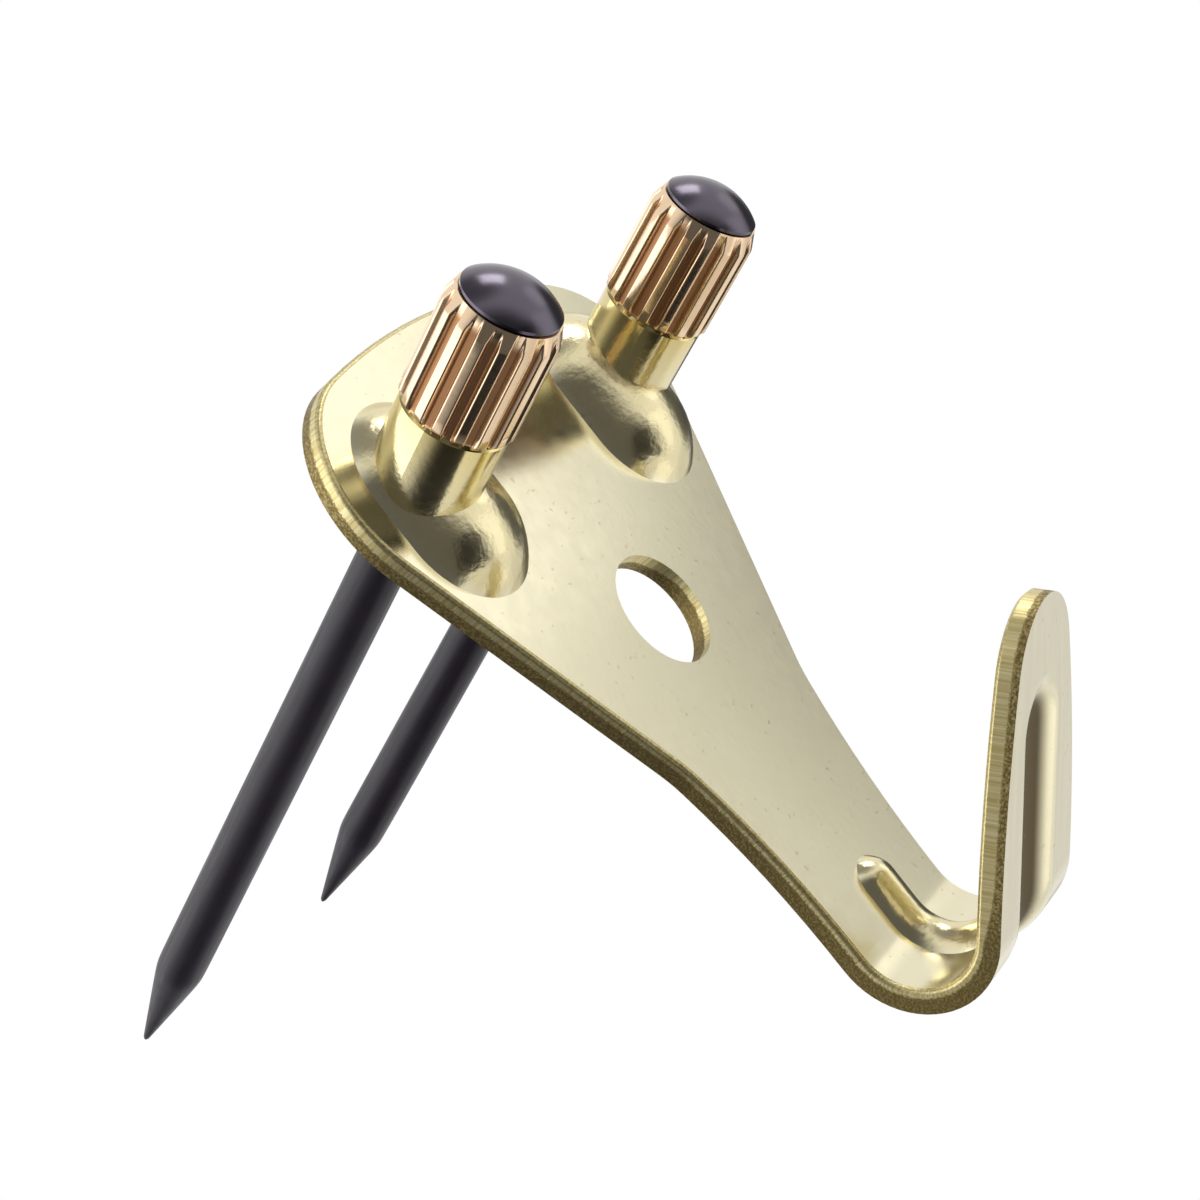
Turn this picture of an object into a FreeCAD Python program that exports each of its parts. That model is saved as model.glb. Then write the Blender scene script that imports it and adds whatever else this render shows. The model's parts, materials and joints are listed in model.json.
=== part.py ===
import FreeCAD, Part
import math
import os
from FreeCAD import Vector as V

os.makedirs("parts", exist_ok=True)

# Frame: wall plane Y = 0, front of the hook toward -Y, +Z up.
# Origin: centre of the fixing hole on the back face. Millimetres.

# Sheet and front outline
SHEET_T = 1.0
TOP_Z = 15.15
LOBE_X = 6.95
LOBE_Z = 9.2
LOBE_R = 5.25
KNEE_W = 5.05
KNEE_Z = -6.75
KNEE_R = 6.0
HOLE_R = 2.5

# Bend and lip
BEND_Z = -15.3
STRAP_W = 4.3
STRAP_SIDE_R = 36.0
BEND_R = 2.55
LIP_ANGLE = 42.0
LIP_LEN = 12.45
LIP_SIDE_R = 40.0
EDGE_ROLL = 0.2

# Stiffening rib through the bend: bead in the throat, channel outside
RIB_TOP_Z = -13.7
RIB_LIP_U = 7.1
BEAD_W = 1.65
BEAD_H = 0.75
CHANNEL_W = 1.6
CHANNEL_D = 0.72
RIB_LAP = 0.3

# Nail axis, measured from the front face along the nail
NAIL_X = 8.2
NAIL_Z = 9.05
NAIL_TILT = 17.6
NAIL_SPLAY = 1.8

# Nail
NAIL_R = 1.05
NAIL_LEN = 41.0
POINT_LEN = 4.7
POINT_R = 0.14
HEAD_R = 2.0
HEAD_RIM = 0.16
HEAD_DOME = 0.8

# Knurled sleeve under the nail head
SLEEVE_R = 2.35
SLEEVE_LEN = 4.95
SLEEVE_TOP_R = 2.07
SLEEVE_SHOULDER = 0.75
SLEEVE_FOOT = 0.12
FLUTES = 16
FLUTE_D = 0.2
FLUTE_W = 0.56
FLUTE_FLOOR = 0.14

# Guide tube and pressed boss on the plate
TUBE_R = 2.2
TUBE_END = 3.8
TUBE_EDGE = 0.15
TUBE_WALL = 0.75
TUBE_CAP = 0.9
BOSS_R = 4.05
BOSS_W = 3.3
BOSS_SHIFT = 0.8
BOSS_HEEL = 5.2
BOSS_TOE = 3.7
BOSS_WALL = 0.8

# Clearances
TUBE_CLEAR = 0.06
SLEEVE_CLEAR = 0.02
SEAT_GAP = 0.02

BORE_R = NAIL_R + TUBE_CLEAR
SLEEVE_BORE_R = NAIL_R + SLEEVE_CLEAR
SLEEVE_FOOT_S = TUBE_END + SEAT_GAP
SLEEVE_TOP_S = SLEEVE_FOOT_S + SLEEVE_LEN
HEAD_S = SLEEVE_TOP_S + SEAT_GAP
TILT = math.radians(NAIL_TILT)
LIP = math.radians(LIP_ANGLE)


def front(x, z, y=0.0):
    return V(x, y, z)


def line(a, b):
    return Part.LineSegment(a, b).toShape()


def arc(a, m, b):
    return Part.Arc(a, m, b).toShape()


def on_circle(cx, cz, r, deg):
    a = math.radians(deg)
    return front(cx + r * math.cos(a), cz + r * math.sin(a))


def mirrored(p):
    return V(-p.x, p.y, p.z)


# Flat plate: broad top, two round lobes, straight tapers, strap
def plate_blank():
    top_r = LOBE_X ** 2 + (TOP_Z - LOBE_Z) ** 2 - LOBE_R ** 2
    top_r = top_r / (2.0 * (TOP_Z - LOBE_Z - LOBE_R))
    top_c = front(0.0, TOP_Z - top_r)
    lobe_c = front(LOBE_X, LOBE_Z)
    join = top_c + (lobe_c - top_c).normalize() * top_r
    knee = front(KNEE_W, KNEE_Z)
    foot = front(STRAP_W, BEND_Z)
    to_lobe = lobe_c - knee
    swing = math.asin(LOBE_R / to_lobe.Length)
    run = math.atan2(to_lobe.z, to_lobe.x) - swing
    reach = math.sqrt(to_lobe.Length ** 2 - LOBE_R ** 2)
    touch = knee + front(math.cos(run), math.sin(run)) * reach
    # The strap side is a long arc, upright at the bend; a round joins it to the taper.
    side_c = front(STRAP_W + STRAP_SIDE_R, BEND_Z)
    up = front(math.cos(run), math.sin(run))
    off = front(math.sin(run), -math.cos(run))
    start = knee + off * KNEE_R - side_c
    drop = start.dot(up)
    rest = start.dot(start) - (STRAP_SIDE_R - KNEE_R) ** 2
    knee_c = knee + off * KNEE_R + up * (-drop - math.sqrt(drop ** 2 - rest))
    high = knee_c - off * KNEE_R
    back = (knee_c - side_c).normalize()
    low = side_c + back * STRAP_SIDE_R
    mid = knee_c + (back - off).normalize() * KNEE_R
    hip = side_c + (back + front(-1.0, 0.0)).normalize() * STRAP_SIDE_R
    a0 = math.degrees(math.atan2(touch.z - LOBE_Z, touch.x - LOBE_X))
    a1 = math.degrees(math.atan2(join.z - LOBE_Z, join.x - LOBE_X))
    cheek = on_circle(LOBE_X, LOBE_Z, LOBE_R, (a0 + a1) / 2.0)
    edges = [
        line(mirrored(foot), foot),
        arc(foot, hip, low),
        arc(low, mid, high),
        line(high, touch),
        arc(touch, cheek, join),
        arc(join, front(0.0, TOP_Z), mirrored(join)),
        arc(mirrored(join), mirrored(cheek), mirrored(touch)),
        line(mirrored(touch), mirrored(high)),
        arc(mirrored(high), mirrored(mid), mirrored(low)),
        arc(mirrored(low), mirrored(hip), mirrored(foot)),
    ]
    return Part.Face(Part.Wire(edges)).extrude(V(0, -SHEET_T, 0))


BEND_C = V(0, -SHEET_T - BEND_R, BEND_Z)
BEND_TURN = 180.0 - LIP_ANGLE
LIP_RUN = V(0, -math.sin(LIP), math.cos(LIP))
LIP_OUT = V(0, -math.cos(LIP), -math.sin(LIP))


def round_bend(r, deg, x=0.0):
    a = math.radians(deg)
    return BEND_C + V(x, r * math.cos(a), -r * math.sin(a))


def bend_blank():
    inner = BEND_R
    outer = BEND_R + SHEET_T
    half = BEND_TURN / 2.0
    x = -STRAP_W
    edges = [
        arc(round_bend(inner, 0, x), round_bend(inner, half, x), round_bend(inner, BEND_TURN, x)),
        line(round_bend(inner, BEND_TURN, x), round_bend(outer, BEND_TURN, x)),
        arc(round_bend(outer, BEND_TURN, x), round_bend(outer, half, x), round_bend(outer, 0, x)),
        line(round_bend(outer, 0, x), round_bend(inner, 0, x)),
    ]
    return Part.Face(Part.Wire(edges)).extrude(V(2.0 * STRAP_W, 0, 0))


def lip_point(x, u, h=0.0):
    # h is measured from the outer face of the lip into the sheet
    return round_bend(BEND_R + SHEET_T, BEND_TURN, x) + LIP_RUN * u - LIP_OUT * h


def lip_blank():
    # Sides bow in from the strap width and run tangent into a full round tip.
    in_c = LIP_SIDE_R - STRAP_W
    tip_r = LIP_SIDE_R ** 2 - in_c ** 2 - LIP_LEN ** 2
    tip_r = tip_r / (2.0 * (LIP_SIDE_R - LIP_LEN))
    tip_u = LIP_LEN - tip_r
    turn = math.atan2(tip_u, in_c)

    def side(a, sign):
        x = LIP_SIDE_R * math.cos(a) - in_c
        return lip_point(sign * x, LIP_SIDE_R * math.sin(a))

    edges = [
        line(side(0.0, -1), side(0.0, 1)),
        arc(side(0.0, 1), side(turn / 2.0, 1), side(turn, 1)),
        arc(side(turn, 1), lip_point(0.0, LIP_LEN), side(turn, -1)),
        arc(side(turn, -1), side(turn / 2.0, -1), side(0.0, -1)),
    ]
    return Part.Face(Part.Wire(edges)).extrude(LIP_OUT * -SHEET_T)


def depth(p):
    # How deep a point lies in the sheet, from its front face or, past the bend, its throat face
    rel = p - BEND_C
    if p.z >= BEND_Z and rel.y > 0.0:
        return abs(p.y + SHEET_T)
    turn = math.degrees(math.atan2(-rel.z, rel.y))
    if 0.0 <= turn <= BEND_TURN:
        return abs(math.hypot(rel.y, rel.z) - BEND_R)
    return abs(rel.dot(LIP_OUT) - BEND_R)


def sheet_blank():
    sheet = plate_blank().fuse([bend_blank(), lip_blank()]).removeSplitter()
    # The punch breaks the outline on the front and throat side; the other edge stays crisp.
    outline = []
    for e in sheet.Edges:
        middle = e.valueAt((e.FirstParameter + e.LastParameter) / 2.0)
        across = abs(middle.x) < 1e-6 and e.BoundBox.XLength > STRAP_W and e.BoundBox.ZLength < 1e-6
        if depth(middle) < 1e-6 and e.Length > SHEET_T + 1e-3 and not across:
            outline.append(e)
    return sheet.makeChamfer(EDGE_ROLL, outline)


# Rib pieces: one section, extruded along the straights, turned in the bend, revolved at the ends
def rib_section(place, half_w, rise, lap):
    edges = [
        arc(place(-half_w, 0.0), place(0.0, rise), place(half_w, 0.0)),
        line(place(half_w, 0.0), place(half_w, -lap)),
        line(place(half_w, -lap), place(-half_w, -lap)),
        line(place(-half_w, -lap), place(-half_w, 0.0)),
    ]
    return Part.Face(Part.Wire(edges))


def rib_end(place, half_w, rise, lap, centre, axis):
    r = (half_w ** 2 + rise ** 2) / (2.0 * rise)
    drop = r - rise
    a = (math.pi / 2.0 + math.atan2(drop, half_w)) / 2.0
    mid = place(r * math.cos(a), r * math.sin(a) - drop)
    edges = [
        arc(place(0.0, rise), mid, place(half_w, 0.0)),
        line(place(half_w, 0.0), place(half_w, -lap)),
        line(place(half_w, -lap), place(0.0, -lap)),
        line(place(0.0, -lap), place(0.0, rise)),
    ]
    return Part.Face(Part.Wire(edges)).revolve(centre, axis, 360)


def rib_body(face_y, half_w, rise, bend_r):
    # From the strap's front it is the bead in the throat, from the back the channel outside.
    def at_top(x, h):
        return V(x, face_y - h, RIB_TOP_Z)

    def at_bend(x, h):
        return V(x, face_y - h, BEND_Z)

    def at_lip(x, h):
        return round_bend(bend_r, BEND_TURN, x) - LIP_OUT * h + LIP_RUN * RIB_LIP_U

    def at_root(x, h):
        return round_bend(bend_r, BEND_TURN, x) - LIP_OUT * h

    strap = rib_section(at_bend, half_w, rise, RIB_LAP).extrude(V(0, 0, RIB_TOP_Z - BEND_Z))
    turn = rib_section(at_bend, half_w, rise, RIB_LAP).revolve(BEND_C, V(-1, 0, 0), BEND_TURN)
    lip = rib_section(at_root, half_w, rise, RIB_LAP).extrude(LIP_RUN * RIB_LIP_U)
    top_end = rib_end(at_top, half_w, rise, RIB_LAP, at_top(0.0, 0.0), V(0, 1, 0))
    lip_end = rib_end(at_lip, half_w, rise, RIB_LAP, at_lip(0.0, 0.0), LIP_OUT)
    return strap.fuse([turn, lip, top_end, lip_end])


# Boss and guide tube, right-hand side; the left one is its mirror image
AXIS_UP = V(0, math.sin(TILT), math.cos(TILT))
DOME_Y = -SHEET_T + math.sqrt(BOSS_R ** 2 - BOSS_W ** 2)


def rz(r, s):
    return V(r, 0, s)


def turned(edges):
    return Part.Face(Part.Wire(edges)).revolve(V(0, 0, 0), V(0, 0, 1), 360)


def seat(shape, side):
    # Local +Z is the nail axis, pointing out of the wall; local zero lies on the front face.
    out = shape.copy()
    out.rotate(V(0, 0, 0), V(1, 0, 0), 90.0 - NAIL_TILT)
    out.rotate(V(0, 0, 0), AXIS_UP, side * NAIL_SPLAY)
    out.translate(V(side * NAIL_X, -SHEET_T, NAIL_Z))
    return out


def boss_dome(r):
    # A long dome: one radius, its two end centres behind the plate on a line along the strap
    low = V(NAIL_X - BOSS_SHIFT, DOME_Y, NAIL_Z - BOSS_HEEL + BOSS_W)
    high = V(NAIL_X - BOSS_SHIFT, DOME_Y, NAIL_Z + BOSS_TOE - BOSS_W)
    up = high - low
    slant = r / math.sqrt(2.0)
    edges = [
        arc(low - V(0, 0, r), low + V(slant, 0, -slant), low + V(r, 0, 0)),
        line(low + V(r, 0, 0), high + V(r, 0, 0)),
        arc(high + V(r, 0, 0), high + V(slant, 0, slant), high + V(0, 0, r)),
        line(high + V(0, 0, r), low - V(0, 0, r)),
    ]
    return Part.Face(Part.Wire(edges)).revolve(low, up, 360)


def boss_solid():
    reach = 4.0 * BOSS_R
    ahead = Part.makeBox(2.0 * reach, reach, 2.0 * reach, V(-reach, -reach - SHEET_T / 2.0, -reach))
    tube = turned([
        line(rz(0, 0), rz(TUBE_R, 0)),
        line(rz(TUBE_R, 0), rz(TUBE_R, TUBE_END - TUBE_EDGE)),
        line(rz(TUBE_R, TUBE_END - TUBE_EDGE), rz(TUBE_R - TUBE_EDGE, TUBE_END)),
        line(rz(TUBE_R - TUBE_EDGE, TUBE_END), rz(0, TUBE_END)),
        line(rz(0, TUBE_END), rz(0, 0)),
    ])
    return boss_dome(BOSS_R).common(ahead).fuse(seat(tube, 1))


def boss_hollow():
    tube_in = TUBE_R - TUBE_WALL
    roof = TUBE_END - TUBE_CAP
    past = 2.0 * SHEET_T
    well = turned([
        line(rz(0, -past), rz(tube_in, -past)),
        line(rz(tube_in, -past), rz(tube_in, roof)),
        line(rz(tube_in, roof), rz(BORE_R, roof)),
        line(rz(BORE_R, roof), rz(BORE_R, TUBE_END + past)),
        line(rz(BORE_R, TUBE_END + past), rz(0, TUBE_END + past)),
        line(rz(0, TUBE_END + past), rz(0, -past)),
    ])
    return boss_dome(BOSS_R - BOSS_WALL).fuse(seat(well, 1))


def both_sides(shape):
    return [shape, shape.mirror(V(0, 0, 0), V(1, 0, 0))]


def hook_plate():
    sheet = sheet_blank()
    bead = rib_body(-SHEET_T, BEAD_W, BEAD_H, BEND_R)
    channel = rib_body(0.0, CHANNEL_W, CHANNEL_D, BEND_R + SHEET_T)
    hole = Part.makeCylinder(HOLE_R, 4.0 * SHEET_T, V(0, 2.0 * SHEET_T, 0), V(0, -1, 0))
    body = sheet.fuse([bead] + both_sides(boss_solid()))
    body = body.cut([channel, hole] + both_sides(boss_hollow()))
    return body.removeSplitter()


def nail():
    tip = HEAD_S - NAIL_LEN
    neck = tip + POINT_LEN
    nose = rz(POINT_R, tip + POINT_R)
    rim = HEAD_S + HEAD_RIM
    crown = rim + HEAD_DOME
    dome_r = (HEAD_R ** 2 + HEAD_DOME ** 2) / (2.0 * HEAD_DOME)
    a = math.asin(HEAD_R / dome_r) / 2.0
    shoulder = rz(dome_r * math.sin(a), crown - dome_r + dome_r * math.cos(a))
    edges = [
        line(rz(0, tip), rz(POINT_R / 2.0, tip)),
        line(rz(POINT_R / 2.0, tip), nose),
        line(nose, rz(NAIL_R, neck)),
        line(rz(NAIL_R, neck), rz(NAIL_R, HEAD_S)),
        line(rz(NAIL_R, HEAD_S), rz(HEAD_R, HEAD_S)),
        line(rz(HEAD_R, HEAD_S), rz(HEAD_R, rim)),
        arc(rz(HEAD_R, rim), shoulder, rz(0, crown)),
        line(rz(0, crown), rz(0, tip)),
    ]
    return turned(edges)


def sleeve():
    s0 = SLEEVE_FOOT_S
    s1 = SLEEVE_TOP_S
    brow = s1 - SLEEVE_SHOULDER
    edges = [
        line(rz(SLEEVE_BORE_R, s0), rz(SLEEVE_R - SLEEVE_FOOT, s0)),
        line(rz(SLEEVE_R - SLEEVE_FOOT, s0), rz(SLEEVE_R, s0 + SLEEVE_FOOT)),
        line(rz(SLEEVE_R, s0 + SLEEVE_FOOT), rz(SLEEVE_R, brow)),
        line(rz(SLEEVE_R, brow), rz(SLEEVE_TOP_R, s1)),
        line(rz(SLEEVE_TOP_R, s1), rz(SLEEVE_BORE_R, s1)),
        line(rz(SLEEVE_BORE_R, s1), rz(SLEEVE_BORE_R, s0)),
    ]
    body = turned(edges)
    root = SLEEVE_R - FLUTE_D
    out = SLEEVE_R + FLUTE_D
    floor = FLUTE_FLOOR / 2.0
    spread = floor + (FLUTE_W - FLUTE_FLOOR) * (out - root) / FLUTE_D / 2.0
    corners = [V(root, -floor, s0), V(root, floor, s0), V(out, spread, s0), V(out, -spread, s0)]
    groove = Part.makePolygon(corners + corners[:1])
    cutter = Part.Face(groove).extrude(V(0, 0, SLEEVE_LEN))
    cutters = []
    for i in range(FLUTES):
        c = cutter.copy()
        c.rotate(V(0, 0, 0), V(0, 0, 1), 360.0 * i / FLUTES)
        cutters.append(c)
    return body.cut(cutters)


hook_plate().exportStep("parts/hook_plate.step")
seat(nail(), -1).exportStep("parts/left_nail.step")
seat(nail(), 1).exportStep("parts/right_nail.step")
seat(sleeve(), -1).exportStep("parts/left_nail_sleeve.step")
seat(sleeve(), 1).exportStep("parts/right_nail_sleeve.step")
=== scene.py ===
import json
import math

import bmesh
import bpy
from mathutils import Matrix, Vector

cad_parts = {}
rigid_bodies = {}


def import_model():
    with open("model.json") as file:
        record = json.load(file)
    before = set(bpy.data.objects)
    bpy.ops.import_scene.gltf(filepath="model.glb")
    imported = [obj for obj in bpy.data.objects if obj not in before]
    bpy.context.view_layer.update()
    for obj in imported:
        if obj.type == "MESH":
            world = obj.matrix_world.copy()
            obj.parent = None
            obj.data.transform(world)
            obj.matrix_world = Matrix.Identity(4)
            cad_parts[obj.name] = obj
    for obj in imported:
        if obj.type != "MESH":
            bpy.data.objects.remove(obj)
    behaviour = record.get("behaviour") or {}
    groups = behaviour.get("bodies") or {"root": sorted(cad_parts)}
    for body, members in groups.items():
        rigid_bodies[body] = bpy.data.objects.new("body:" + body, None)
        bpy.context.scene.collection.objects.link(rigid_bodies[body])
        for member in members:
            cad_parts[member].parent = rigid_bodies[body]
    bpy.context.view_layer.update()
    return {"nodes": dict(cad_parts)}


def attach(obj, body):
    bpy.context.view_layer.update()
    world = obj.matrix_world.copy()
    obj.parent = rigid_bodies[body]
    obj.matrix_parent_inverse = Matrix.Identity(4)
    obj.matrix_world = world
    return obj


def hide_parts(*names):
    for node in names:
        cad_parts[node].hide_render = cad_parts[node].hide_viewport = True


# The part goes into an empty scene
for old in list(bpy.data.objects):
    bpy.data.objects.remove(old)

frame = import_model()

MM = 0.001

# Pressed sheet, as in the part
SHEET_T = 1.0 * MM
EDGE_ROLL = 0.2 * MM
BEND_Z = -15.3 * MM
BEND_R = 2.55 * MM
LIP_ANGLE = math.radians(42.0)
BEND_Y = -SHEET_T - BEND_R
BEND_TURN = math.pi - LIP_ANGLE
BEND_RUN = BEND_TURN * (BEND_R + SHEET_T / 2.0)
RIB_TOP_S = -1.6 * MM
RIB_END_S = BEND_RUN + 7.1 * MM
BEAD_W = 1.65 * MM
CHANNEL_W = 1.6 * MM
CHANNEL_FLOOR = 0.28 * MM

# The press shapes the rib: the bead comes out slimmer, and the channel wider, with rolled brows
BEAD_SLIM = 0.68
CHANNEL_SPREAD = 1.4
CHANNEL_D = 0.78 * MM

# How near points of the mesh lie to be joined, to count as on a face, and to count as in the rib
WELD = 1e-5 * MM
HAIR = 0.002 * MM
RIB_REACH = 0.06 * MM

# The cosine between a triangle and the way through the sheet, on the chamfer and on the cut
CHAMFER_LEAN = (-0.9, -0.5)
CUT_LEAN = 0.3

# How far a boss stands out of the front face where its drawn skin is full, and where its tube
# starts and is fully ironed
SKIN_FULL = 0.3 * MM
TUBE_START = 1.7 * MM
TUBE_FULL = 2.3 * MM

# How deep the cut stays clean before it tears, as a share of the sheet, and where that changes
TEAR_STRAP = 0.34
TEAR_LOBES = 0.52
TEAR_LIP = 0.68
LOBES_LOW_S = -13.0 * MM
LOBES_HIGH_S = -17.0 * MM
LIP_LOW_S = BEND_RUN - 0.5 * MM
LIP_HIGH_S = BEND_RUN + 1.5 * MM

# Nails and their sleeves, as in the part; heights run along a nail from the plate's front face
NAIL_X = 8.2 * MM
NAIL_Z = 9.05 * MM
NAIL_TILT = math.radians(17.6)
NAIL_SPLAY = math.radians(1.8)
NAIL_R = 1.05 * MM
NAIL_LEN = 41.0 * MM
POINT_LEN = 4.7 * MM
POINT_R = 0.14 * MM
HEAD_R = 2.0 * MM
HEAD_RIM = 0.16 * MM
HEAD_DOME = 0.8 * MM
TUBE_END = 3.8 * MM
SEAT_GAP = 0.02 * MM
SLEEVE_BORE_R = NAIL_R + SEAT_GAP
SLEEVE_R = 2.35 * MM
SLEEVE_LEN = 4.95 * MM
SLEEVE_TOP_R = 2.07 * MM
SLEEVE_SHOULDER = 0.75 * MM
SLEEVE_FOOT = 0.12 * MM
SLEEVE_FOOT_S = TUBE_END + SEAT_GAP
SLEEVE_TOP_S = SLEEVE_FOOT_S + SLEEVE_LEN
HEAD_S = SLEEVE_TOP_S + SEAT_GAP
FLUTES = 16

# Flutes as cut: their depth, the shares of a pitch from a groove's middle to the end of its floor and
# to its mouth, how softly they meet the blank, and how steep an edge of the sleeve shows as sharp
FLUTE_D = 0.25 * MM
FLUTE_FLOOR = 0.16
FLUTE_MOUTH = 0.31
FLUTE_SOFT = 0.09 * MM
SLEEVE_CREASE = math.radians(65.0)

# Nails as drawn: a soft neck where the point meets the shank, how far past the point the shank runs
# plain, a fine edge under the head, and how steep an edge shows as sharp
NECK_RUN = 0.8 * MM
NECK_SOFT = 0.06 * MM
SHANK_RUN = 2.0 * MM
HEAD_EDGE = 0.04 * MM
NAIL_CREASE = math.radians(30.0)

# Mesh steps: along the sleeve's wall and shoulder, round one flute, and along and round a nail
WALL_STEPS = 8
SHOULDER_STEPS = 30
FLUTE_STEPS = 24
NAIL_STEPS = 24
NAIL_AROUND = 64

# Table under the part: its radius, its place, and the radii where it starts and ends to fade
TABLE_R = 0.13
TABLE_PLACE = (0.04, -0.04, -0.16)
TABLE_FADE = (0.05, 0.125)

# Camera, fitted to the photograph
CAMERA_RIGHT = Vector((0.45180952, -0.6436035, -0.61777236))
CAMERA_UP = Vector((0.32481776, -0.52627081, 0.78583233))
CAMERA_BACK = Vector((-0.83088, -0.55570996, -0.02872031))
CAMERA_PLACE = Vector((-0.084913, -0.055650, -0.001083))
CAMERA_LENS = 76.13


def hexcol(code):
    """sRGB hex to linear RGBA."""
    parts = [int(code[i:i + 2], 16) / 255.0 for i in (1, 3, 5)]
    lin = [c / 12.92 if c <= 0.04045 else ((c + 0.055) / 1.055) ** 2.4 for c in parts]
    return (*lin, 1.0)


def add(tree, kind, settings=None, inputs=None):
    """Adds a node with its settings; an input is a constant or another node's socket."""
    node = tree.nodes.new(kind)
    for name, value in (settings or {}).items():
        setattr(node, name, value)
    for key, value in (inputs or {}).items():
        if isinstance(value, bpy.types.NodeSocket):
            tree.links.new(value, node.inputs[key])
        else:
            node.inputs[key].default_value = value
    return node


def maths(tree, operation, *values):
    return add(tree, "ShaderNodeMath", {"operation": operation}, dict(enumerate(values))).outputs[0]


def remap(tree, value, given, wanted=(0.0, 1.0), soft=False):
    """Takes a value from one range to another, held at its ends, in a line or in a soft S."""
    curve = "SMOOTHSTEP" if soft else "LINEAR"
    return add(tree, "ShaderNodeMapRange", {"interpolation_type": curve}, {
        "Value": value, "From Min": given[0], "From Max": given[1],
        "To Min": wanted[0], "To Max": wanted[1]}).outputs["Result"]


def mix_value(tree, share, low, high):
    return add(tree, "ShaderNodeMix", {"data_type": "FLOAT"}, {0: share, 2: low, 3: high}).outputs[0]


def mix_colour(tree, share, low, high):
    """Mixes two colours, each a hex code or another node's socket."""
    low, high = (hexcol(c) if isinstance(c, str) else c for c in (low, high))
    return add(tree, "ShaderNodeMix", {"data_type": "RGBA"}, {0: share, 6: low, 7: high}).outputs[2]


def noise(tree, at, size_mm, detail):
    """Noise with features of about that size, where places are in metres."""
    return add(tree, "ShaderNodeTexNoise", inputs={
        "Vector": at, "Scale": 1.0 / (size_mm * MM), "Detail": detail}).outputs["Fac"]


def mark(tree, name):
    """What the mesh is marked with under that name."""
    return add(tree, "ShaderNodeAttribute", {"attribute_name": name}).outputs["Fac"]


def bump(tree, height, strength, depth_mm):
    return add(tree, "ShaderNodeBump", inputs={
        "Height": height, "Strength": strength, "Distance": depth_mm * MM}).outputs["Normal"]


def rays(tree):
    """Whether a ray comes from the camera, and whether from a mirror or glass."""
    path = tree.nodes.new("ShaderNodeLightPath").outputs
    mirrored = maths(tree, "MAXIMUM", path["Is Glossy Ray"], path["Is Transmission Ray"])
    return path["Is Camera Ray"], mirrored


def new_material(name):
    mat = bpy.data.materials.new(name)
    mat.use_nodes = True
    mat.node_tree.nodes.clear()
    return mat, mat.node_tree


def surface(tree, look):
    """Ends a material in a Principled shader with that look."""
    shader = add(tree, "ShaderNodeBsdfPrincipled", inputs=look)
    add(tree, "ShaderNodeOutputMaterial", inputs={0: shader.outputs[0]})


# Steel sheet, pressed and brass-plated in a barrel: a pale satin gold that mirrors the room softly.
# Drawing the bosses roughens their skin, so they mottle, and the ironed tubes come out smooth and
# yellower. The barrel leaves pits and rub marks, and the back carries faint streaks from the press.
# The channel is dull, and its floor is painted dark brown as the shade that falls in its deep recess.
def plated_sheet():
    mat, tree = new_material("brass_plated_steel_sheet")
    at = tree.nodes.new("ShaderNodeTexCoord").outputs["Object"]
    flat = add(tree, "ShaderNodeUVMap", {"uv_map": "sheet"}).outputs["UV"]
    drawn, ironed = mark(tree, "drawn"), mark(tree, "ironed")
    depth, sunk = mark(tree, "depth"), mark(tree, "sunk")
    grit = add(tree, "ShaderNodeMapping", inputs={"Vector": flat, "Scale": (1.0 / 0.7, 1.0 / 9.0, 1.0)})
    streaks = add(tree, "ShaderNodeTexNoise", inputs={
        "Vector": grit.outputs[0], "Scale": 1.0, "Detail": 3.0}).outputs["Fac"]
    back = remap(tree, depth, (0.9, 1.0), (0.0, 0.3))
    streak = remap(tree, streaks, (0.35, 0.68), (0.0, back))
    # Painted shade: the channel's colour darkens to brown as it sinks, for the shade in its recess.
    painted_channel_shade = remap(tree, sunk, (0.2, 0.65), (0.0, 0.95), soft=True)
    peel = noise(tree, at, 0.3, 2.0)
    pit = remap(tree, peel, (0.68, 0.76), (0.0, 0.35))
    colour = mix_colour(tree, noise(tree, at, 4.0, 3.0), "#E4DCBB", "#E9E2C4")
    for share, tint in ((drawn, "#E3D7AC"), (ironed, "#DECC90"), (streak, "#D0C4AE"),
                        (painted_channel_shade, "#50432B"), (pit, "#A39468")):
        colour = mix_colour(tree, share, colour, tint)
    haze = remap(tree, noise(tree, at, 0.8, 5.0), (0.3, 0.7), (0.17, 0.22))
    shine = mix_value(tree, ironed, haze, 0.12)
    skin = remap(tree, drawn, (0.0, 1.0), (0.02, 0.3))
    surface(tree, {
        "Base Color": colour, "Metallic": 1.0,
        "Roughness": remap(tree, sunk, (0.02, 0.4), (shine, 0.42), soft=True),
        "Normal": bump(tree, peel, skin, 0.05)})
    return mat


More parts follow.
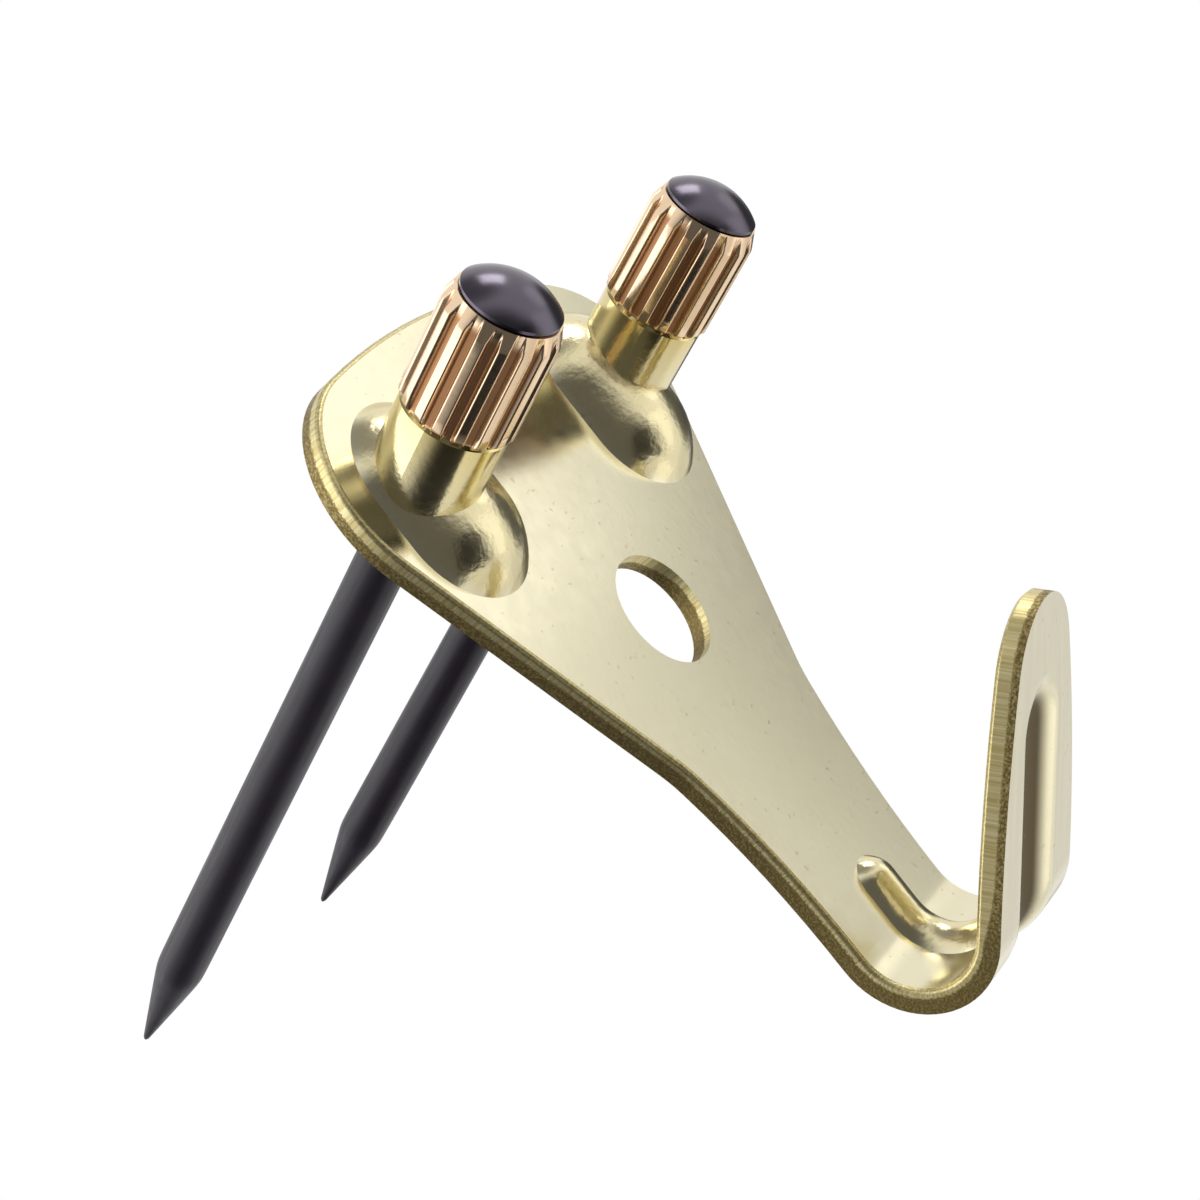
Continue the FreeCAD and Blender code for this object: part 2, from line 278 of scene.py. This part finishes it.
# The sheet's cut edge, plated after punching: a burnished band from the punch side, with fine drag
# lines across the thickness, then a dark crumbly band where the steel tore, coarser on the lip. Lines
# and crumbs are finer than this on a real edge, and are drawn as coarse as they need to show.
def sheared_edge():
    mat, tree = new_material("sheared_plated_edge")
    at = tree.nodes.new("ShaderNodeTexCoord").outputs["Object"]
    flat = add(tree, "ShaderNodeUVMap", {"uv_map": "sheet"}).outputs["UV"]
    depth, tear = mark(tree, "depth"), mark(tree, "tear")
    drag = add(tree, "ShaderNodeTexNoise", inputs={
        "Vector": flat, "Scale": 1.0 / 0.12, "Detail": 3.0, "Roughness": 0.7}).outputs["Fac"]
    crumb = noise(tree, at, 0.11, 2.0)
    past = maths(tree, "SUBTRACT", depth, tear)
    ragged = maths(tree, "MULTIPLY_ADD", crumb, 0.3, past)
    torn = remap(tree, ragged, (0.11, 0.19), soft=True)
    line = remap(tree, drag, (0.36, 0.64))
    burnished = mix_colour(tree, line, "#BDAC6E", "#E4D8A9")
    coarse = remap(tree, tear, (TEAR_STRAP, TEAR_LIP), (0.4, 1.0))
    speck = remap(tree, crumb, (0.42, 0.7), (0.0, coarse))
    broken = mix_colour(tree, speck, "#77673F", "#BBAA75")
    grain = mix_value(tree, torn, drag, crumb)
    surface(tree, {
        "Base Color": mix_colour(tree, torn, burnished, broken), "Metallic": 1.0,
        "Roughness": remap(tree, torn, (0.0, 1.0), (0.4, 0.5)),
        "Normal": bump(tree, grain, 0.3, 0.05)})
    return mat


# Reddish brass, turned and fluted, then tumbled: bright rose-gold crests with a fine uneven haze; the
# grooves are duller, and painted brown as the shade that falls in them.
def fluted_red_brass():
    mat, tree = new_material("fluted_red_brass")
    at = tree.nodes.new("ShaderNodeTexCoord").outputs["Object"]
    # Painted shade: the grooves are coloured brown by this mask, which also makes them duller.
    low = remap(tree, mark(tree, "groove"), (0.25, 0.95), (0.0, 0.9), soft=True)
    crest = mix_colour(tree, noise(tree, at, 0.6, 3.0), "#E9C8A3", "#F1D8B8")
    fine = noise(tree, at, 0.25, 3.0)
    haze = remap(tree, fine, (0.0, 1.0), (0.1, 0.22))
    surface(tree, {
        "Base Color": mix_colour(tree, low, crest, "#A2724A"), "Metallic": 1.0,
        "Roughness": mix_value(tree, low, haze, 0.5), "Normal": bump(tree, fine, 0.12, 0.02)})
    return mat


# Hardened steel wire, black-blued: nearly black with a violet cast. The shank is satin, with drawing
# lines along it; the struck head is polished, and shines through the blueing like dark glass.
def black_blued_steel():
    mat, tree = new_material("black_blued_steel")
    at = tree.nodes.new("ShaderNodeTexCoord").outputs["Object"]
    struck = mark(tree, "struck")
    along = add(tree, "ShaderNodeMapping", {"vector_type": "TEXTURE"}, {
        "Vector": at, "Rotation": (math.pi / 2.0 - NAIL_TILT, 0.0, 0.0),
        "Scale": (0.15 * MM, 0.15 * MM, 3.0 * MM)})
    lines = add(tree, "ShaderNodeTexNoise", inputs={
        "Vector": along.outputs[0], "Scale": 1.0, "Detail": 3.0}).outputs["Fac"]
    tone = mix_colour(tree, noise(tree, at, 1.0, 4.0), "#19131E", "#231C28")
    satin = remap(tree, lines, (0.3, 0.7), (0.3, 0.46))
    grain = mix_value(tree, struck, lines, noise(tree, at, 0.2, 3.0))
    surface(tree, {
        "Base Color": mix_colour(tree, struck, tone, "#625C66"), "Metallic": struck,
        "Roughness": mix_value(tree, struck, satin, 0.22), "Specular IOR Level": 0.35,
        "Normal": bump(tree, grain, 0.08, 0.02)})
    return mat


def on_strap(p):
    return p.z >= BEND_Z and (p.y > BEND_Y or p.z > 0.0)


def bend_angle(p):
    """How far round the bend a point lies, from the strap to the lip."""
    turn = math.atan2(BEND_Z - p.z, p.y - BEND_Y)
    return turn if 0.0 <= turn <= BEND_TURN else BEND_TURN


def sheet_normal(p):
    """The way through the sheet at a point, from its front or throat face to its back."""
    turn = 0.0 if on_strap(p) else bend_angle(p)
    return Vector((0.0, math.cos(turn), -math.sin(turn)))


def down_strip(p):
    """The way along the sheet at a point, down the strap and on up the lip."""
    through = sheet_normal(p)
    return Vector((0.0, through.z, -through.y))


def unrolled(p):
    """A point of the pressed sheet laid flat: across, down the strip, and depth from its front face."""
    if on_strap(p):
        return p.x, BEND_Z - p.z, p.y + SHEET_T
    rel = p - Vector((p.x, BEND_Y, BEND_Z))
    turn = bend_angle(p)
    out = rel.dot(sheet_normal(p))
    if turn < BEND_TURN:
        return p.x, turn * (BEND_R + SHEET_T / 2.0), out - BEND_R
    run = rel.dot(Vector((0.0, -math.sin(LIP_ANGLE), math.cos(LIP_ANGLE))))
    return p.x, BEND_RUN + run, out - BEND_R


def ramp(x, low, high):
    """0 at low, 1 at high, held outside."""
    return min(1.0, max(0.0, (x - low) / (high - low)))


def tear_depth(s):
    """How deep the cut stays clean before it tears, along the strip: late on the lobes and the lip."""
    lobes = TEAR_LOBES * ramp(s, LOBES_LOW_S, LOBES_HIGH_S)
    lip = TEAR_LIP * ramp(s, LIP_LOW_S, LIP_HIGH_S)
    return max(TEAR_STRAP, lobes, lip)


def joined_plate():
    """A copy of the plate's mesh with its loose triangles joined, and the exact normals of its corners."""
    mesh = frame["nodes"]["hook_plate"].data.copy()
    mesh.name = "pressed_hook"
    exact = [n.vector.copy() for n in mesh.corner_normals]
    bm = bmesh.new()
    bm.from_mesh(mesh)
    keep = bm.loops.layers.float_vector.new("exact")
    for face in bm.faces:
        for loop in face.loops:
            loop[keep] = exact[loop.index]
    bmesh.ops.remove_doubles(bm, verts=bm.verts, dist=WELD)
    bm.to_mesh(mesh)
    bm.free()
    normals = [v.vector.copy() for v in mesh.attributes["exact"].data]
    mesh.attributes.remove(mesh.attributes["exact"])
    return mesh, normals


def press_rib(mesh, flat, normals):
    """Slims the bead, and widens the channel to a cosine; gives how deep each point sinks, 0 to 1."""
    sunk = [0.0] * len(flat)
    slim, rolled_in = {}, {}
    for v, (x, s, h) in zip(mesh.vertices, flat):
        past = s - min(max(s, RIB_TOP_S), RIB_END_S)
        off = math.hypot(x, past)
        through, down = sheet_normal(v.co), down_strip(v.co)
        aside = Vector((x, 0.0, 0.0)) + down * past
        if h < HAIR and off < BEAD_W + RIB_REACH:
            slim[v.index] = down if abs(past) > HAIR else None
            v.co += aside * (BEAD_SLIM - 1.0)
        elif h > CHANNEL_FLOOR - HAIR and off < CHANNEL_W + RIB_REACH:
            phase = math.pi * min(1.0, off / CHANNEL_W)
            sunk[v.index] = (1.0 + math.cos(phase)) / 2.0
            wide = CHANNEL_W * CHANNEL_SPREAD
            slope = CHANNEL_D * math.pi / (2.0 * wide) * math.sin(phase)
            rolled_in[v.index] = (through - aside / max(off, HAIR) * slope).normalized()
            v.co += aside * (CHANNEL_SPREAD - 1.0)
            v.co += through * (SHEET_T - h - CHANNEL_D * sunk[v.index])
    for loop in mesh.loops:
        at = loop.vertex_index
        if at in slim:
            n = normals[loop.index]
            across = Vector((n.x, 0.0, 0.0))
            if slim[at]:
                across += slim[at] * n.dot(slim[at])
            normals[loop.index] = (n + across * (1.0 / BEAD_SLIM - 1.0)).normalized()
        elif at in rolled_in:
            normals[loop.index] = rolled_in[at]
    return sunk


def roll_edge(mesh, flat, normals):
    """Shades the chamfer of the punched edge as a round, and gives the cut its own material."""
    for poly in mesh.polygons:
        through = sheet_normal(poly.center)
        deep = [flat[v][2] for v in poly.vertices]
        lean = poly.normal.dot(through)
        inside = -HAIR < min(deep) and max(deep) < SHEET_T + HAIR
        chamfer = max(deep) < EDGE_ROLL + HAIR and max(deep) - min(deep) > HAIR
        rolled = inside and chamfer and CHAMFER_LEAN[0] < lean < CHAMFER_LEAN[1]
        if rolled:
            away = poly.normal - through * lean
            for li, h in zip(poly.loop_indices, deep):
                normals[li] = -through if h < EDGE_ROLL / 2.0 else away.normalized()
        poly.material_index = 1 if inside and (rolled or abs(lean) < CUT_LEAN) else 0


def mark_sheet(mesh, flat, sunk):
    """Lays the sheet flat as UVs, in mm, and marks what its materials read."""
    mesh.uv_layers.new(name="sheet")
    for loop in mesh.loops:
        x, s, h = flat[loop.vertex_index]
        mesh.uv_layers["sheet"].data[loop.index].uv = (x / MM, s / MM)
    out = [-h for x, s, h in flat]
    marks = {
        "depth": [h / SHEET_T for x, s, h in flat],
        "tear": [tear_depth(s) for x, s, h in flat],
        "drawn": [ramp(o, 0.0, SKIN_FULL) * ramp(o, TUBE_FULL, TUBE_START) for o in out],
        "ironed": [ramp(o, TUBE_START, TUBE_FULL) for o in out],
        "sunk": sunk,
    }
    for name, values in marks.items():
        mesh.attributes.new(name, "FLOAT", "POINT").data.foreach_set("value", values)


def pressed_hook(face_mat, edge_mat):
    """The plate's own mesh, with its rib pressed and its punched edge rolled over and marked."""
    mesh, normals = joined_plate()
    mesh.materials.clear()
    mesh.materials.append(face_mat)
    mesh.materials.append(edge_mat)
    flat = [unrolled(v.co) for v in mesh.vertices]
    sunk = press_rib(mesh, flat, normals)
    roll_edge(mesh, flat, normals)
    mesh.normals_split_custom_set(normals)
    mark_sheet(mesh, flat, sunk)
    return mesh


def lathed(name, rings, around):
    """Rings of radius and height turned round the Z axis; a ring of no radius is a pole."""
    verts, rows = [], []
    for r, z in rings:
        count = around if r > 0.0 else 1
        rows.append(range(len(verts), len(verts) + count))
        for j in range(count):
            a = 2.0 * math.pi * j / around
            verts.append((r * math.cos(a), r * math.sin(a), z))
    faces = []
    for low, high in zip(rows, rows[1:]):
        for j in range(around):
            on = (j + 1) % around
            if len(low) == 1:
                faces.append((low[0], high[on], high[j]))
            elif len(high) == 1:
                faces.append((low[j], low[on], high[0]))
            else:
                faces.append((low[j], low[on], high[on], high[j]))
    mesh = bpy.data.meshes.new(name)
    mesh.from_pydata(verts, [], faces)
    return mesh


def turned_blank():
    """The sleeve before fluting: foot, wall, collar and bore as closed rings."""
    brow = SLEEVE_TOP_S - SLEEVE_SHOULDER
    wall = SLEEVE_FOOT_S + SLEEVE_FOOT
    bore = (SLEEVE_BORE_R, SLEEVE_FOOT_S)
    rings = [bore, (SLEEVE_R - SLEEVE_FOOT, SLEEVE_FOOT_S)]
    rings += [(SLEEVE_R, wall + (brow - wall) * i / WALL_STEPS) for i in range(WALL_STEPS + 1)]
    for i in range(1, SHOULDER_STEPS + 1):
        r = SLEEVE_R + (SLEEVE_TOP_R - SLEEVE_R) * i / SHOULDER_STEPS
        rings.append((r, brow + SLEEVE_SHOULDER * i / SHOULDER_STEPS))
    rings += [(SLEEVE_BORE_R, SLEEVE_TOP_S), bore]
    return lathed("turned_blank", rings, FLUTES * FLUTE_STEPS)


def blued_nail(mat):
    """One nail: ground point, drawn shank, struck head with a low dome."""
    tip = HEAD_S - NAIL_LEN
    rings = [(0.0, tip), (POINT_R / 2.0, tip), (POINT_R, tip + POINT_R)]
    slope = (NAIL_R - POINT_R) / (POINT_LEN - POINT_R)
    for i in range(1, NAIL_STEPS + 1):
        up = (POINT_LEN + NECK_RUN - POINT_R) * i / NAIL_STEPS
        gap = POINT_R + slope * up - NAIL_R
        rings.append((NAIL_R - (math.hypot(gap, NECK_SOFT) - gap) / 2.0, tip + POINT_R + up))
    rings.append((NAIL_R, tip + POINT_LEN + SHANK_RUN))
    rings.append((NAIL_R, HEAD_S))
    shank = len(rings)
    rings += [(HEAD_R - HEAD_EDGE, HEAD_S), (HEAD_R, HEAD_S + HEAD_EDGE), (HEAD_R, HEAD_S + HEAD_RIM)]
    round_r = (HEAD_R ** 2 + HEAD_DOME ** 2) / (2.0 * HEAD_DOME)
    centre = HEAD_S + HEAD_RIM + HEAD_DOME - round_r
    reach = math.asin(HEAD_R / round_r)
    for i in range(1, NAIL_STEPS):
        a = reach * (1.0 - i / NAIL_STEPS)
        rings.append((round_r * math.sin(a), centre + round_r * math.cos(a)))
    rings.append((0.0, centre + round_r))
    mesh = lathed("blued_nail", rings, NAIL_AROUND)
    struck = mesh.attributes.new("struck", "FLOAT", "POINT")
    for v in range(1 + (shank - 1) * NAIL_AROUND, len(mesh.vertices)):
        struck.data[v].value = 1.0
    mesh.materials.append(mat)
    mesh.set_sharp_from_angle(angle=NAIL_CREASE)
    for poly in mesh.polygons:
        poly.use_smooth = True
    return mesh


def flutes_tree():
    """Cuts flutes round the Z axis: crest and groove repeat by angle, and run out softly."""
    tree = bpy.data.node_groups.new("flutes", "GeometryNodeTree")
    face = tree.interface
    face.new_socket("Geometry", in_out="INPUT", socket_type="NodeSocketGeometry")
    face.new_socket("Flutes", in_out="INPUT", socket_type="NodeSocketInt")
    for name in ("Crest Radius", "Depth", "Floor", "Mouth", "Softness"):
        face.new_socket(name, in_out="INPUT", socket_type="NodeSocketFloat")
    face.new_socket("Material", in_out="INPUT", socket_type="NodeSocketMaterial")
    face.new_socket("Geometry", in_out="OUTPUT", socket_type="NodeSocketGeometry")
    given = tree.nodes.new("NodeGroupInput").outputs
    place = tree.nodes.new("GeometryNodeInputPosition").outputs[0]
    axes = add(tree, "ShaderNodeSeparateXYZ", inputs={0: place}).outputs
    angle = maths(tree, "ARCTAN2", axes["Y"], axes["X"])
    turns = maths(tree, "MULTIPLY", angle, given["Flutes"])
    pitch = maths(tree, "DIVIDE", turns, 2.0 * math.pi)
    cell = maths(tree, "PINGPONG", pitch, 0.5)
    cut = remap(tree, cell, (given["Floor"], given["Mouth"]), (given["Depth"], 0.0), soft=True)
    limit = maths(tree, "SUBTRACT", given["Crest Radius"], cut)
    flat = add(tree, "ShaderNodeCombineXYZ", inputs={"X": axes["X"], "Y": axes["Y"]})
    length = add(tree, "ShaderNodeVectorMath", {"operation": "LENGTH"}, {0: flat.outputs[0]})
    radius = length.outputs["Value"]
    kept = maths(tree, "SMOOTH_MIN", radius, limit, given["Softness"])
    share = maths(tree, "DIVIDE", kept, radius)
    scale = add(tree, "ShaderNodeCombineXYZ", inputs={"X": share, "Y": share, "Z": 1.0})
    moved = add(tree, "ShaderNodeVectorMath", {"operation": "MULTIPLY"}, {0: place, 1: scale.outputs[0]})
    gone = maths(tree, "SUBTRACT", radius, kept)
    groove = maths(tree, "DIVIDE", gone, given["Depth"])
    marked = add(tree, "GeometryNodeStoreNamedAttribute", {"data_type": "FLOAT", "domain": "POINT"}, {
        "Geometry": given["Geometry"], "Name": "groove", "Value": groove})
    fluted = add(tree, "GeometryNodeSetPosition", inputs={
        "Geometry": marked.outputs[0], "Position": moved.outputs[0]})
    real = add(tree, "GeometryNodeRealizeInstances", inputs={"Geometry": fluted.outputs[0]})
    dressed = add(tree, "GeometryNodeSetMaterial", inputs={
        "Geometry": real.outputs[0], "Material": given["Material"]})
    out = tree.nodes.new("NodeGroupOutput")
    tree.links.new(dressed.outputs[0], out.inputs[0])
    return tree


def fluted_sleeve(mat):
    """One sleeve round the Z axis, with its flutes cut."""
    blank = bpy.data.objects.new("turned_blank", turned_blank())
    bpy.context.scene.collection.objects.link(blank)
    cutter = blank.modifiers.new("flutes", "NODES")
    tree = flutes_tree()
    cutter.node_group = tree
    sizes = {"Flutes": FLUTES, "Crest Radius": SLEEVE_R, "Depth": FLUTE_D, "Floor": FLUTE_FLOOR,
             "Mouth": FLUTE_MOUTH, "Softness": FLUTE_SOFT, "Material": mat}
    for socket in tree.interface.items_tree:
        if socket.in_out == "INPUT" and socket.name in sizes:
            cutter[socket.identifier] = sizes[socket.name]
    seen = blank.evaluated_get(bpy.context.evaluated_depsgraph_get())
    mesh = bpy.data.meshes.new_from_object(seen)
    bpy.data.objects.remove(blank)
    mesh.set_sharp_from_angle(angle=SLEEVE_CREASE)
    for poly in mesh.polygons:
        poly.use_smooth = True
    return mesh


def seat(side):
    """From round the Z axis to a nail's own axis, out of the front face of the plate."""
    up = Vector((0.0, math.sin(NAIL_TILT), math.cos(NAIL_TILT)))
    place = Matrix.Translation((side * NAIL_X, -SHEET_T, NAIL_Z))
    splay = Matrix.Rotation(side * NAIL_SPLAY, 4, up)
    return place @ splay @ Matrix.Rotation(math.pi / 2.0 - NAIL_TILT, 4, "X")


def piece(name, mesh, node):
    obj = bpy.data.objects.new(name, mesh)
    bpy.context.scene.collection.objects.link(obj)
    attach(obj, "root")
    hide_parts(node)


piece("pressed_hook", pressed_hook(plated_sheet(), sheared_edge()), "hook_plate")
sleeve = fluted_sleeve(fluted_red_brass())
nail = blued_nail(black_blued_steel())
for name, side in (("left", -1), ("right", 1)):
    for mesh, kind, node, finish in ((sleeve.copy(), "_fluted_sleeve", "_nail_sleeve", "turned_brass"),
                                     (nail.copy(), "_blued_nail", "_nail", "blued_steel")):
        mesh.transform(seat(side))
        piece(name + kind, mesh, name + node)


# Studio: a white tent, with dark cloths where the metal in the photograph mirrors dark. Each cloth has
# the way to its middle, the cosines of its soft rim and of its full core, and what light it leaves.
DARK_CLOTHS = (
    ((-0.76, -0.48, -0.44), 0.20, 0.66, 0.12),    # the opening about the camera
    ((0.05, -0.85, -0.52), 0.885, 0.965, 0.20),   # low in front
    ((-0.45, 0.45, -0.77), 0.75, 0.95, 0.15),     # low behind
    ((0.97, -0.22, -0.05), 0.922, 0.972, 0.10),   # right, toward the front
    ((0.95, 0.29, -0.08), 0.94, 0.985, 0.10),     # right, toward the back
    ((0.85, -0.05, -0.52), 0.93, 0.995, 0.80),    # thin, low on the right
    ((0.10, -0.35, 0.93), 0.80, 0.97, 0.30),      # overhead
)
TENT_LIGHT = 0.75
WHITE = (1.0, 1.0, 1.0, 1.0)

# Square lamps: the way to each, how far off it is, its size, and its level against white in a mirror
SOFTBOXES = (
    ("top_softbox", (0.46, -0.43, 0.77), 0.3, 0.10, 4.5),
    ("front_softbox", (0.50, -0.80, -0.33), 0.3, 0.18, 0.35),
    ("side_softbox", (0.72, -0.66, 0.22), 0.3, 0.11, 0.5),
    ("back_softbox", (-0.46, 0.73, 0.51), 0.3, 0.28, 1.1),
    ("low_softbox", (0.38, -0.38, -0.84), 0.14, 0.06, 0.45),
)


def tent():
    """White to the camera, white with the dark cloths to mirrors, and an even light to all else."""
    world = bpy.data.worlds.new("white_tent")
    bpy.context.scene.world = world
    world.use_nodes = True
    tree = world.node_tree
    tree.nodes.clear()
    way = tree.nodes.new("ShaderNodeTexCoord").outputs["Generated"]
    level = 1.0
    for centre, edge, core, dark in DARK_CLOTHS:
        near = add(tree, "ShaderNodeVectorMath", {"operation": "DOT_PRODUCT"}, {
            0: way, 1: Vector(centre).normalized()}).outputs["Value"]
        level = maths(tree, "MULTIPLY", level, remap(tree, near, (edge, core), (1.0, dark), soft=True))
    seen, mirrored = rays(tree)
    soft = mix_value(tree, mirrored, TENT_LIGHT, level)
    light = add(tree, "ShaderNodeBackground", inputs={
        "Color": WHITE, "Strength": mix_value(tree, seen, soft, 1.0)})
    add(tree, "ShaderNodeOutputWorld", inputs={0: light.outputs[0]})


def table():
    """A pale round table that fades into the white backdrop toward its rim."""
    bm = bmesh.new()
    bmesh.ops.create_circle(bm, cap_ends=True, segments=96, radius=TABLE_R)
    mesh = bpy.data.meshes.new("table")
    bm.to_mesh(mesh)
    bm.free()
    top = bpy.data.objects.new("table", mesh)
    top.location = TABLE_PLACE
    bpy.context.scene.collection.objects.link(top)
    mat, tree = new_material("white_laminate")
    laminate = add(tree, "ShaderNodeBsdfPrincipled", inputs={
        "Base Color": hexcol("#EFEDE8"), "Roughness": 0.6})
    backdrop = add(tree, "ShaderNodeEmission", inputs={"Color": WHITE, "Strength": 1.0})
    at = tree.nodes.new("ShaderNodeTexCoord").outputs["Object"]
    reach = add(tree, "ShaderNodeVectorMath", {"operation": "LENGTH"}, {0: at}).outputs["Value"]
    shown = maths(tree, "MAXIMUM", *rays(tree))
    faded = add(tree, "ShaderNodeMixShader", inputs={
        0: remap(tree, reach, TABLE_FADE, (0.0, shown), soft=True),
        1: laminate.outputs[0], 2: backdrop.outputs[0]})
    add(tree, "ShaderNodeOutputMaterial", inputs={0: faded.outputs[0]})
    mesh.materials.append(mat)


def softbox(name, way, off, size, level):
    """A lamp turned toward the part, as bright in a mirror as level times white."""
    lamp = bpy.data.lights.new(name, "AREA")
    lamp.size = size
    lamp.energy = level * math.pi * size * size
    obj = bpy.data.objects.new(name, lamp)
    obj.location = Vector(way).normalized() * off
    obj.rotation_mode = "QUATERNION"
    obj.rotation_quaternion = (-obj.location).to_track_quat("-Z", "Y")
    obj.visible_camera = False
    bpy.context.scene.collection.objects.link(obj)


tent()
table()
for box in SOFTBOXES:
    softbox(*box)

camera = bpy.data.cameras.new("camera")
camera.sensor_width = 36.0
camera.lens = CAMERA_LENS
camera.clip_start = 0.005
camera.clip_end = 10.0
eye = bpy.data.objects.new("camera", camera)
turn = Matrix((CAMERA_RIGHT, CAMERA_UP, CAMERA_BACK)).transposed().to_4x4()
eye.matrix_world = Matrix.Translation(CAMERA_PLACE) @ turn
bpy.context.scene.collection.objects.link(eye)
bpy.context.scene.camera = eye
bpy.context.scene.view_settings.view_transform = "Standard"
